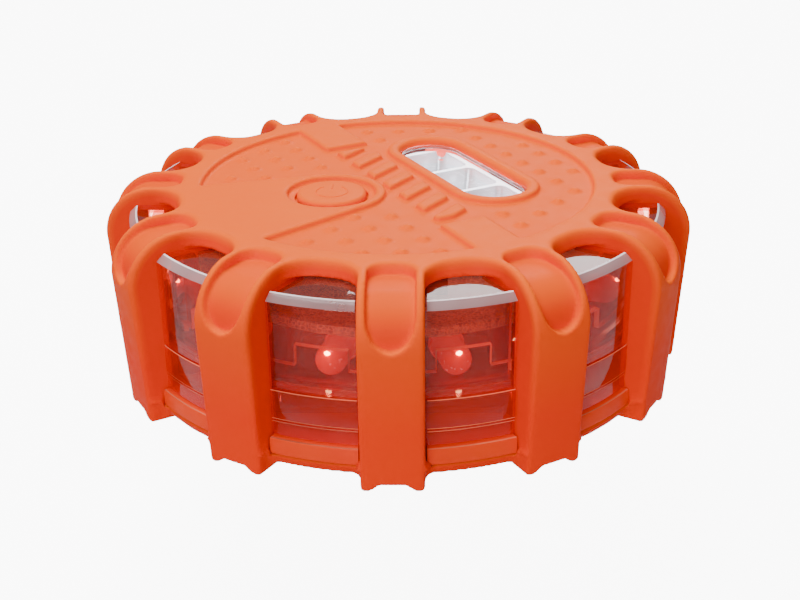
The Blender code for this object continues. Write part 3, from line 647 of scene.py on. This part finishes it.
def clear_material(name, tint, shine, veil, haze):
    """Clear plastic in a thin layer: it shows what is behind, tinted, under a glossy skin."""
    nodes = Nodes(name)
    see = nodes.add("BsdfTransparent", {"Color": (*tint, 1)})
    streaks = nodes.spread(nodes.noise(120), shine * 0.7, shine * 1.3)
    skin = nodes.add("BsdfGlossy", {"Color": (1, 1, 1, 1), "Roughness": streaks})
    slant = nodes.add("LayerWeight", {"Blend": 0.5}).outputs["Facing"]
    edge = nodes.spread(slant, 0.03, 0.30, 0.25, 1.0)
    coat = nodes.add("MixShader", {0: edge, 1: see.outputs[0], 2: skin.outputs[0]})
    body = nodes.add("BsdfDiffuse", {"Color": (*veil, 1)})
    cloud = nodes.spread(nodes.noise(55), haze * 0.6, haze * 1.4)
    mixed = nodes.add("MixShader", {0: cloud, 1: coat.outputs[0], 2: body.outputs[0]})
    nodes.tree.links.new(mixed.outputs[0], nodes.output.inputs["Surface"])
    nodes.tree.nodes.remove(nodes.shader)
    return nodes.material


def glowing_epoxy():
    """Red lamp body, lit from inside, with small bright painted glints."""
    nodes = Nodes("red_epoxy")
    depth = nodes.spread(nodes.noise(260), 0, 1)
    tone = nodes.blend(depth, (0.80, 0.002, 0.002), (1.0, 0.006, 0.005))
    # Painted glints: pink-white specks in the colour, which the emission carries too.
    painted_glints = nodes.spread(nodes.noise(1500, 1.0), 0, 1, 0.66, 0.72)
    tone = nodes.blend(painted_glints, tone, (1.0, 0.22, 0.30))
    nodes.drive("Base Color", tone)
    nodes.drive("Emission Color", tone)
    nodes.set(Emission_Strength=0.30, Roughness=0.10, IOR=1.5, Specular_IOR_Level=0.30)
    return nodes.material


def glowing_die():
    nodes = Nodes("lamp_die")
    core = nodes.spread(nodes.noise(2500), 0, 1)
    nodes.drive("Emission Color", nodes.blend(core, (1.0, 0.80, 0.25), (1.0, 0.95, 0.70)))
    nodes.set(Base_Color=(1.0, 0.85, 0.4), Emission_Strength=22.0)
    return nodes.material


def board_material():
    """Green-brown solder mask with gold tracks, and a faint painted glow."""
    nodes = Nodes("board_mask")
    tracks = nodes.add("TexVoronoi", {"Vector": nodes.place, "Scale": 1500.0}, feature="DISTANCE_TO_EDGE")
    lines = nodes.spread(tracks.outputs["Distance"], 1, 0, 0.03, 0.10)
    base = nodes.blend(nodes.spread(nodes.noise(900), 0, 1), (0.16, 0.20, 0.06), (0.62, 0.62, 0.22))
    nodes.drive("Base Color", nodes.blend(lines, base, (0.80, 0.62, 0.22)))
    nodes.drive("Roughness", nodes.spread(nodes.noise(300), 0.25, 0.5))
    nodes.bump(lines, 0.03)
    # Painted glow: a faint white emission, though the board is no lamp.
    nodes.set(Emission_Strength=0.05)
    return nodes.material


def battery_material():
    """A plain two-tone sleeve, copper-coloured towards the plus end."""
    nodes = Nodes("battery_sleeve")
    along = nodes.add("SeparateXYZ", {"Vector": nodes.place}).outputs["Y"]
    band = nodes.spread(along, 0, 1, 0.0115, 0.0125)
    dark = nodes.blend(nodes.spread(nodes.noise(120), 0, 1), (0.02, 0.02, 0.025), (0.05, 0.05, 0.06))
    nodes.drive("Base Color", nodes.blend(band, dark, (0.55, 0.28, 0.10)))
    nodes.drive("Roughness", nodes.spread(nodes.noise(300), 0.2, 0.35))
    nodes.set(Metallic=0.6)
    return nodes.material


MATERIALS = {
    "rubber": rubber_material(),
    "clear": clear_material("clear_shell", (1.0, 0.66, 0.60), 0.06, (0.95, 0.045, 0.01), 0.06),
    # Painted reflection: a grey-pink band for the light that the chamfer reflects.
    "edge": clear_material("clear_chamfer_painted_reflection", (0.95, 0.72, 0.72), 0.15, (0.50, 0.34, 0.34), 0.50),
    # Painted highlight: a pale line for the glint along the top edge.
    "glint": clear_material("clear_painted_glint", (1.0, 0.9, 0.9), 0.2, (1.0, 0.85, 0.85), 0.85),
    # Painted highlight: a light orange-red line for edges that catch the light.
    "line": clear_material("clear_painted_highlight_line", (1.0, 0.6, 0.5), 0.15, (1.0, 0.20, 0.10), 0.80),
    "lower": clear_material("lower_shell", (1.0, 0.45, 0.34), 0.06, (0.90, 0.035, 0.003), 0.20),
    "lens": clear_material("torch_lens_plastic", (0.97, 0.98, 1.0), 0.04, (0.9, 0.9, 0.95), 0.02),
    "orange": moulded("orange_moulding", (0.92, 0.055, 0.001), (0.86, 0.040, 0.001), 0.35, shine=0.15),
    "inner": clear_material("tray_plastic", (1.0, 0.42, 0.32), 0.08, (0.80, 0.035, 0.004), 0.27),
    "black": moulded("black_moulding", (0.012, 0.012, 0.014), (0.03, 0.03, 0.03), 0.45),
    "white": moulded("white_nylon", (0.80, 0.79, 0.75), (0.70, 0.69, 0.65), 0.42),
    "seal": moulded("silicone_seal", (0.55, 0.020, 0.008), (0.42, 0.015, 0.006), 0.60),
    "board": board_material(),
    "epoxy": glowing_epoxy(),
    "die": glowing_die(),
    "phosphor": moulded("lamp_phosphor", (0.95, 0.82, 0.30), (0.90, 0.74, 0.22), 0.25, glow=0.3),
    # Painted reflection: the silver glows a little, standing in for the bright surroundings it would mirror.
    "chrome": moulded("reflector_silver_painted_reflection", (0.95, 0.95, 0.97), (0.86, 0.87, 0.92), 0.16, 500, 0.004, 0.7, 0.7),
    # Painted highlight: a strongly glowing white for the tops of the reflector walls.
    "bright": moulded("reflector_rim_painted_highlight", (1.0, 1.0, 1.0), (0.93, 0.93, 0.96), 0.25, glow=5.0),
    "steel": moulded("zinc_steel", (0.62, 0.62, 0.64), (0.50, 0.50, 0.53), 0.30, 1500, 0.006, 1.0),
    "nickel": moulded("nickel_plate", (0.74, 0.73, 0.71), (0.62, 0.61, 0.60), 0.18, 700, 0.004, 1.0),
    "battery": battery_material(),
}


# Pieces ----------------------------------------------------------------------------------------


def dress_cover():
    cover = make_cover()
    cover.data.materials.append(MATERIALS["rubber"])
    stand_for(cover, "rubber_cover")


def make_button():
    """The pad with a raised power sign: an open ring and a bar."""
    place = moved_to(*BUTTON)
    rim = arc((BUTTON_RADIUS - 0.7, 31.65), 0.7, 90, 0, 6)
    flange = BUTTON_MOAT - 0.1
    profile = [(0, 32.35)] + rim + [(BUTTON_RADIUS, 30.75), (flange, 30.75), (flange, 30.35), (0, 30.35)]
    turns = np.radians(np.linspace(125, 415, 40))
    centre_line = [(2.7 * math.cos(a), 2.7 * math.sin(a), 32.3) for a in turns]
    ring = tube(centre_line, 0.17, 10, place)
    bar = tube([(0, 1.3, 32.3), (0, 2.4, 32.3), (0, 3.5, 32.3)], 0.17, 10, place)
    rubber = MATERIALS["rubber"]
    pad = solid("power_button_pad", [(lathe(profile, 96, place), rubber), (ring, rubber), (bar, rubber)])
    stand_for(pad, "power_button", "power_button")


def channel_bars():
    """What is cut away under the arms."""
    half_width, start, radius, floor = ARM_CHANNEL
    outline = [(start, floor), (radius, floor), (radius, 0), (60, 0), (60, 40), (start, 40)]
    return around(lambda index: rib(outline, half_width, arm(index)))


def mark_faces(piece, finish, chosen):
    """Gives another material to the faces that a test picks by centre and normal."""
    piece.data.materials.append(finish)
    slot = len(piece.data.materials) - 1
    for face in piece.data.polygons:
        if chosen(face.center / MM, face.normal):
            face.material_index = slot


def make_upper_housing():
    top = HOUSING_TOP
    profile = [
        (0, top),
        (WALL - 1.45, top),
        (WALL - 1.15, top - 0.1),
        (WALL - 0.05, top - 1.15),
        (WALL, top - 1.25),
        (WALL, SEAM + 0.3),
        (WALL - 0.12, SEAM + 0.15),
        (INNER, SEAM + 0.15),
        (INNER, 26.8),
        (42.2, 26.8),
        (42.2, 16.2),
        (41.2, 16.2),
        (41.2, 26.8),
        (35.0, 26.8),
        (35.0, 28.0),
        (0, 28.0),
    ]
    shell = solid("upper_housing_shell", [(lathe(profile, 144), MATERIALS["clear"])])
    block = rectangle(4.3, 1.2)
    notches = around(lambda index: prism(block, 15.2, 19.8, window(index) @ moved_to(0, 41.6)))
    supports = pins(3.0, SEAM + 0.15, 28.5, SCREW_CIRCLE, SCREW_ANGLES)
    supports += pins(2.4, 20.7, 28.5, POST_CIRCLE, POST_ANGLES)
    bores = pins(1.7, 13, 20.4, SCREW_CIRCLE, SCREW_ANGLES) + pins(1.3, 19.4, 24.0, POST_CIRCLE, POST_ANGLES)
    outline = slot_outline(TORCH_HALF[0] + 0.4, TORCH_HALF[1] + 0.4)
    holes = [prism(circle(1.9, 24), 26, 40, moved_to(*BUTTON)), prism(outline, 26, 40, torch_place())]
    carve(
        shell,
        ("DIFFERENCE", notches),
        ("UNION", supports),
        ("DIFFERENCE", channel_bars()),
        ("DIFFERENCE", bores + holes),
    )

    def on_chamfer(at, normal):
        return top - 1.15 < at.z < top - 0.1 and math.hypot(at.x, at.y) > 44.5

    def beside_notch(at, normal):
        in_skirt = 41.1 < math.hypot(at.x, at.y) < 42.3 and 15.3 < at.z < 20.0
        return in_skirt and abs(normal.x * at.x + normal.y * at.y) < 20

    def on_top_edge(at, normal):
        return at.z > top - 0.09 and math.hypot(at.x, at.y) > 45.0 and abs(normal.z) < 0.98

    # The chamfer carries the painted reflection.
    mark_faces(shell, MATERIALS["edge"], on_chamfer)
    # The sides of the skirt's notches carry painted highlight lines.
    mark_faces(shell, MATERIALS["line"], beside_notch)
    # The top edge carries a painted glint.
    mark_faces(shell, MATERIALS["glint"], on_top_edge)
    stand_for(shell, "upper_housing")


def make_lower_housing():
    top, bottom = SEAM - 0.15, 6.2
    profile = [
        (44.6, top),
        (WALL - 0.12, top),
        (WALL, top - 0.12),
        (WALL, 9.05),
        (WALL - 0.16, 8.8),
        (WALL - 0.16, 8.74),
        (WALL, 8.72),
        (WALL, 8.55),
        (WALL - 0.16, 8.32),
        (WALL, bottom),
        (INNER, bottom),
        (INNER, top),
        (43.6, top),
        (43.6, top - 0.9),
        (44.6, top - 0.9),
    ]
    shell = solid("lower_housing_ring", [(lathe(profile, 144), MATERIALS["lower"])])
    carve(
        shell,
        ("DIFFERENCE", channel_bars()),
        ("UNION", pins(3.0, bottom, top, SCREW_CIRCLE, SCREW_ANGLES)),
        ("DIFFERENCE", pins(1.7, 0, 20, SCREW_CIRCLE, SCREW_ANGLES)),
    )

    def on_painted_highlight_line(at, normal):
        level = at.z > top - 0.13 or 8.80 < at.z < 8.94 or 8.41 < at.z < 8.49
        return level and math.hypot(at.x, at.y) > 45.8

    # Painted highlight lines along the top edge and the small ledges.
    mark_faces(shell, MATERIALS["line"], on_painted_highlight_line)
    stand_for(shell, "lower_housing")


def make_base_plate():
    profile = [
        (0, 4.6),
        (INNER, 4.6),
        (INNER, 5.9),
        (46.85, 5.9),
        (47.1, 5.8),
        (47.2, 5.55),
        (47.2, 3.2),
        (45.5, 3.2),
        (45.5, BASE),
        (0, BASE),
    ]
    plate = solid("base_plate_moulding", [(lathe(profile, 144), MATERIALS["orange"])])
    opening = prism(rounded_rectangle(19.3, 31.9, 4.3), 0, 20)
    ribs = around(lambda index: prism(rectangle(0.5, 4.5), 2.4, 3.2, window(index) @ moved_to(0, 38.5)))
    carve(
        plate,
        ("DIFFERENCE", channel_bars()),
        ("UNION", pins(3.0, 3.4, 5.9, SCREW_CIRCLE, SCREW_ANGLES) + ribs),
        ("DIFFERENCE", pins(1.7, 0, 20, SCREW_CIRCLE, SCREW_ANGLES) + [opening]),
    )

    def on_rim(at, normal):
        return math.hypot(at.x, at.y) > 46.7 and 5.7 < at.z < 5.88

    # Painted highlight line along the flange's rounded rim.
    mark_faces(plate, MATERIALS["line"], on_rim)
    stand_for(plate, "base_plate")


def make_red_leds():
    """Each lamp: red epoxy with its flange, a steel cup and legs inside, and the lit die."""
    length = 8.6
    outside = arc((0, length - 2.5), 2.5, 90, 0, 8)
    outside[0] = (0, length)
    outside += [(2.5, 1.15), (2.6, 1.0), (2.85, 1.0), (2.85, 0), (0, 0)]
    cup = [(0, 4.4), (0.45, 4.4), (0.9, 5.0), (1.0, 5.0), (0.8, 3.9), (0, 3.9)]
    die = [(0, 0.62), (0.16, 0.2), (0.55, 0), (0.16, -0.2), (0, -0.62)]
    for index in range(ARM_COUNT):
        name = f"red_led_{index + 1:02d}"
        out = window(index) @ moved_to(0, 0, LAMP_Z)
        body = out @ moved_to(0, LAMP_START) @ Matrix.Rotation(-math.pi / 2, 4, "X")
        parts = [
            (lathe(outside, 32, body), MATERIALS["epoxy"]),
            (lathe(cup, 16, body), MATERIALS["steel"]),
            (lathe(die, 6, body @ moved_to(0, -1.75, 7.85)), MATERIALS["die"]),
        ]
        for x in (-1.27, 1.27):
            bent = [(x, 5.0, 0), (x, -0.6, 0), (x, -1.0, 0.1), (x, -1.25, 0.5), (x, -1.25, 2.9)]
            parts.append((tube(bent, 0.25, 8, out @ moved_to(0, LAMP_START)), MATERIALS["steel"]))
        lamp = solid(name + "_lamp", parts)
        stand_for(lamp, name)


def cup_body(place):
    """A square funnel with rounded corners."""
    levels = ((5.25, 31.0, 1.6), (5.0, 29.2, 1.5), (3.9, 25.6, 1.3), (2.6, 22.6, 1.1), (1.9, 20.0, 0.9))
    rings = [
        [place @ Vector((x, y, z)) for x, y in rounded_rectangle(half, half, corner, 5)]
        for half, z, corner in levels
    ]
    return loft(rings)


def make_torch():
    """Three silver funnels made bright by painted reflection, with a wall between each two whose tops carry a
    painted highlight, a clear lens, and the white lamps.
    """
    outline = slot_outline(TORCH_HALF[0] + 0.1, TORCH_HALF[1] + 0.1)
    block = solid("torch_reflector_cups", [(prism(outline, 21.2, 29.4, torch_place()), MATERIALS["chrome"])])
    spots = [torch_place(step * CUP_PITCH) for step in (-1, 0, 1)]
    collar = prism(slot_outline(TORCH_HALF[0] + 0.35, TORCH_HALF[1] + 0.35), 28.4, 29.8, torch_place())
    carve(block, ("UNION", [collar]), ("DIFFERENCE", [cup_body(spot) for spot in spots]))
    # The walls' top faces carry the painted highlight.
    mark_faces(block, MATERIALS["bright"], lambda at, normal: at.z > 29.5)
    stand_for(block, "torch_reflector")
    upper = slot_outline(TORCH_HALF[0] - 0.3, TORCH_HALF[1] - 0.3)
    wide = slot_outline(TORCH_HALF[0] + 1.4, TORCH_HALF[1] + 1.4)
    lens = solid("torch_lens_window", [(prism(upper, 30.2, 31.4, torch_place()), MATERIALS["lens"])])
    carve(lens, ("UNION", [prism(wide, 29.9, 30.5, torch_place())]))
    soften(lens, 0.25)
    stand_for(lens, "torch_lens")
    for index, spot in enumerate(spots, 1):
        case = prism(rectangle(1.1, 1.1), 20.7, 21.7, spot)
        dome = [(0, 23.0)] + [(1.5 * math.cos(a), 21.5 + 1.5 * math.sin(a)) for a in (1.3, 0.9, 0.5, 0.1)]
        dome += [(1.5, 21.3), (0, 21.3)]
        parts = [(case, MATERIALS["white"]), (lathe(dome, 24, spot), MATERIALS["phosphor"])]
        lamp = solid(f"torch_led_{index}_lamp", parts)
        stand_for(lamp, f"torch_led_{index}")


def make_hook():
    """The wire hook, folded round the magnet."""
    half = [HOOK_PIVOT[:2]] + arc((15.4, 21.3), 1.2, 90, 180, 6) + arc((0, 0), HOOK_BEND, 0, -90, 24)
    path = [(x, y, HOOK_PIVOT[2]) for x, y in half + [(-x, y) for x, y in reversed(half[:-1])]]
    hook = solid("hanging_hook_wire", [(tube(path, HOOK_WIRE, 16), MATERIALS["steel"])])
    stand_for(hook, "hanging_hook", "hanging_hook")


def make_battery_cover():
    """The door with its ring for the magnet, sockets for the hook and finger ridges, and the magnet."""
    door = prism(rounded_rectangle(19.0, 31.6, 4.0), BASE, 4.1)
    piece = solid("battery_cover_door", [(door, MATERIALS["orange"])])
    collar = prism(circle(12.0, 64), 0.9, 3.1)
    lugs = [prism(rectangle(1.4, 1.6), 0.4, 3.1, moved_to(x, HOOK_PIVOT[1])) for x in (-16.9, 16.9)]
    grips = [prism(rectangle(5.0, 0.45), 2.45, 3.0, moved_to(0, y)) for y in (-20.4, -18.8, -17.2)]
    holes = [prism(circle(1.5, 24), 0, 20, moved_to(0, y)) for y in DOOR_SCREWS]
    pocket = prism(circle(MAGNET_RADIUS + 0.3, 64), 0, BASE)
    pivot = moved_to(0, *HOOK_PIVOT[1:]) @ Matrix.Rotation(math.pi / 2, 4, "Y")
    bores = [prism(circle(1.1, 24), *span, pivot) for span in ((14.0, 17.3), (-17.3, -14.0))]
    carve(
        piece,
        ("UNION", [collar] + lugs + grips),
        ("DIFFERENCE", [pocket] + holes),
        ("DIFFERENCE", bores),
    )
    soften(piece, 0.18)
    stand_for(piece, "battery_cover")
    edge = [(0, 2.6), (MAGNET_RADIUS - 0.3, 2.6), (MAGNET_RADIUS, 2.3), (MAGNET_RADIUS, 0.8)]
    edge += [(MAGNET_RADIUS - 0.15, 0.5), (MAGNET_RADIUS - 0.4, 0.4), (0, 0.4)]
    magnet = solid("magnet_disc", [(lathe(edge, 96), MATERIALS["nickel"])])
    stand_for(magnet, "magnet")


def screw_shape(name, at, head, shaft, tip):
    """A pan-head screw with a cross slot and a ridged shaft."""
    radius, low, high = head
    place = moved_to(*at)
    turns = np.arange(high + 1.0, tip - 1.6, 0.7)
    ridges = [point for z in turns[::-1] for point in ((shaft * 0.82, z + 0.35), (shaft, z))]
    profile = [(0, tip), (shaft * 0.5, tip - 0.6)] + ridges + [(shaft, high), (radius, high)]
    profile += [(radius, low + 0.6), (radius * 0.86, low + 0.15), (radius * 0.6, low), (0, low)]
    piece = solid(name + "_turned", [(lathe(profile, 32, place), MATERIALS["steel"])])
    slot = [
        prism(rectangle(radius * 0.6, radius * 0.13), low - 1, low + 0.6, place),
        prism(rectangle(radius * 0.13, radius * 0.6), low - 1, low + 0.55, place),
    ]
    carve(piece, ("DIFFERENCE", slot[:1]), ("DIFFERENCE", slot[1:]))
    stand_for(piece, name)


def make_screws():
    for index, angle in enumerate(SCREW_ANGLES, 1):
        screw_shape(f"housing_screw_{index}", on_circle(SCREW_CIRCLE, angle), (2.5, 1.2, 2.6), 1.4, 20.0)
    for index, angle in enumerate(POST_ANGLES, 1):
        screw_shape(f"board_screw_{index}", on_circle(POST_CIRCLE, angle), (2.1, 17.4, 18.5), 1.0, 23.5)
    for index, y in enumerate(DOOR_SCREWS, 1):
        screw_shape(f"battery_cover_screw_{index}", (0, y), (2.2, 1.3, 2.6), 1.2, 11.5)


KEPT_NODES = {
    "battery_tray": "inner",
    "circuit_board": "board",
    "driver_chip": "black",
    "capacitor": "black",
    "tact_switch": "black",
    "tact_switch_stem": "white",
    "button_plunger": "white",
    "housing_seal": "seal",
    "battery_cover_seal": "seal",
    "battery_1": "battery",
    "battery_2": "battery",
    "battery_3": "battery",
    "battery_spring_1": "steel",
    "battery_spring_2": "steel",
    "battery_spring_3": "steel",
    "contact_plate_1": "steel",
    "contact_plate_2": "steel",
    "contact_plate_3": "steel",
}


def dress_kept_nodes():
    """The CAD pieces that are already fine as they are only take a material."""
    for name, finish in KEPT_NODES.items():
        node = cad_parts[name]
        node.data.materials.clear()
        node.data.materials.append(MATERIALS[finish])


# Stage -----------------------------------------------------------------------------------------


def flat_light(name, at, target, size, power):
    light = bpy.data.lights.new(name, "AREA")
    light.shape = "DISK"
    light.size = size
    light.energy = power
    lamp = bpy.data.objects.new(name, light)
    lamp.location = at
    lamp.rotation_euler = (Vector(target) - Vector(at)).to_track_quat("-Z", "Y").to_euler()
    bpy.context.scene.collection.objects.link(lamp)


def make_floor():
    """A pale floor: it looks bright, and lies low enough to leave the open hook in sight."""
    nodes = Nodes("studio_floor")
    tone = nodes.blend(nodes.spread(nodes.noise(3), 0, 1), (0.50, 0.50, 0.51), (0.46, 0.46, 0.47))
    nodes.drive("Base Color", tone)
    seen = nodes.add("LightPath").outputs["Is Camera Ray"]
    nodes.drive("Emission Strength", nodes.spread(seen, 0, FLOOR_SEEN, 0, 1))
    nodes.set(Roughness=0.8, Emission_Color=(1.0, 1.0, 1.0))
    floor = solid("studio_floor_disc", [(prism(circle(3000, 64), FLOOR_Z - 6.0, FLOOR_Z), nodes.material)])


def make_world():
    world = bpy.data.worlds.new("studio_world")
    world.use_nodes = True
    tree = world.node_tree
    background = tree.nodes["Background"]
    path = tree.nodes.new("ShaderNodeLightPath").outputs["Is Camera Ray"]
    strength = tree.nodes.new("ShaderNodeMapRange")
    tree.links.new(path, strength.inputs["Value"])
    strength.inputs["To Min"].default_value = WORLD_LIGHT
    strength.inputs["To Max"].default_value = WORLD_SEEN
    tree.links.new(strength.outputs["Result"], background.inputs["Strength"])
    background.inputs["Color"].default_value = (1, 1, 1, 1)
    bpy.context.scene.world = world


def make_camera():
    """The photograph's viewpoint: in front, a little to the right, looking down."""
    data = bpy.data.cameras.new("camera")
    data.lens = 58.74
    data.sensor_width = 36
    camera = bpy.data.objects.new("camera", data)
    yaw, pitch, roll = (math.radians(a) for a in (-1.36, 24.74, 0.72))
    turn = Matrix.Rotation(-yaw, 4, "Z") @ Matrix.Rotation(math.pi / 2 - pitch, 4, "X")
    turn = turn @ Matrix.Rotation(-roll, 4, "Z")
    camera.matrix_world = Matrix.Translation((0.00539, -0.2157, 0.10848)) @ turn
    bpy.context.scene.collection.objects.link(camera)
    bpy.context.scene.camera = camera


def make_stage():
    make_floor()
    make_world()
    flat_light("key_light", (-0.15, 0.05, 0.75), (0, 0, 0), 0.50, 7.2)
    flat_light("front_light", (-0.20, -0.80, 0.30), (0, 0, 0.01), 0.45, 4.2)
    flat_light("back_light", (0.10, 0.70, 0.50), (0, 0, 0.02), 0.40, 3.0)
    make_camera()


def main():
    dress_cover()
    make_button()
    make_upper_housing()
    make_lower_housing()
    make_base_plate()
    make_red_leds()
    make_torch()
    make_hook()
    make_battery_cover()
    make_screws()
    dress_kept_nodes()
    make_stage()


main()
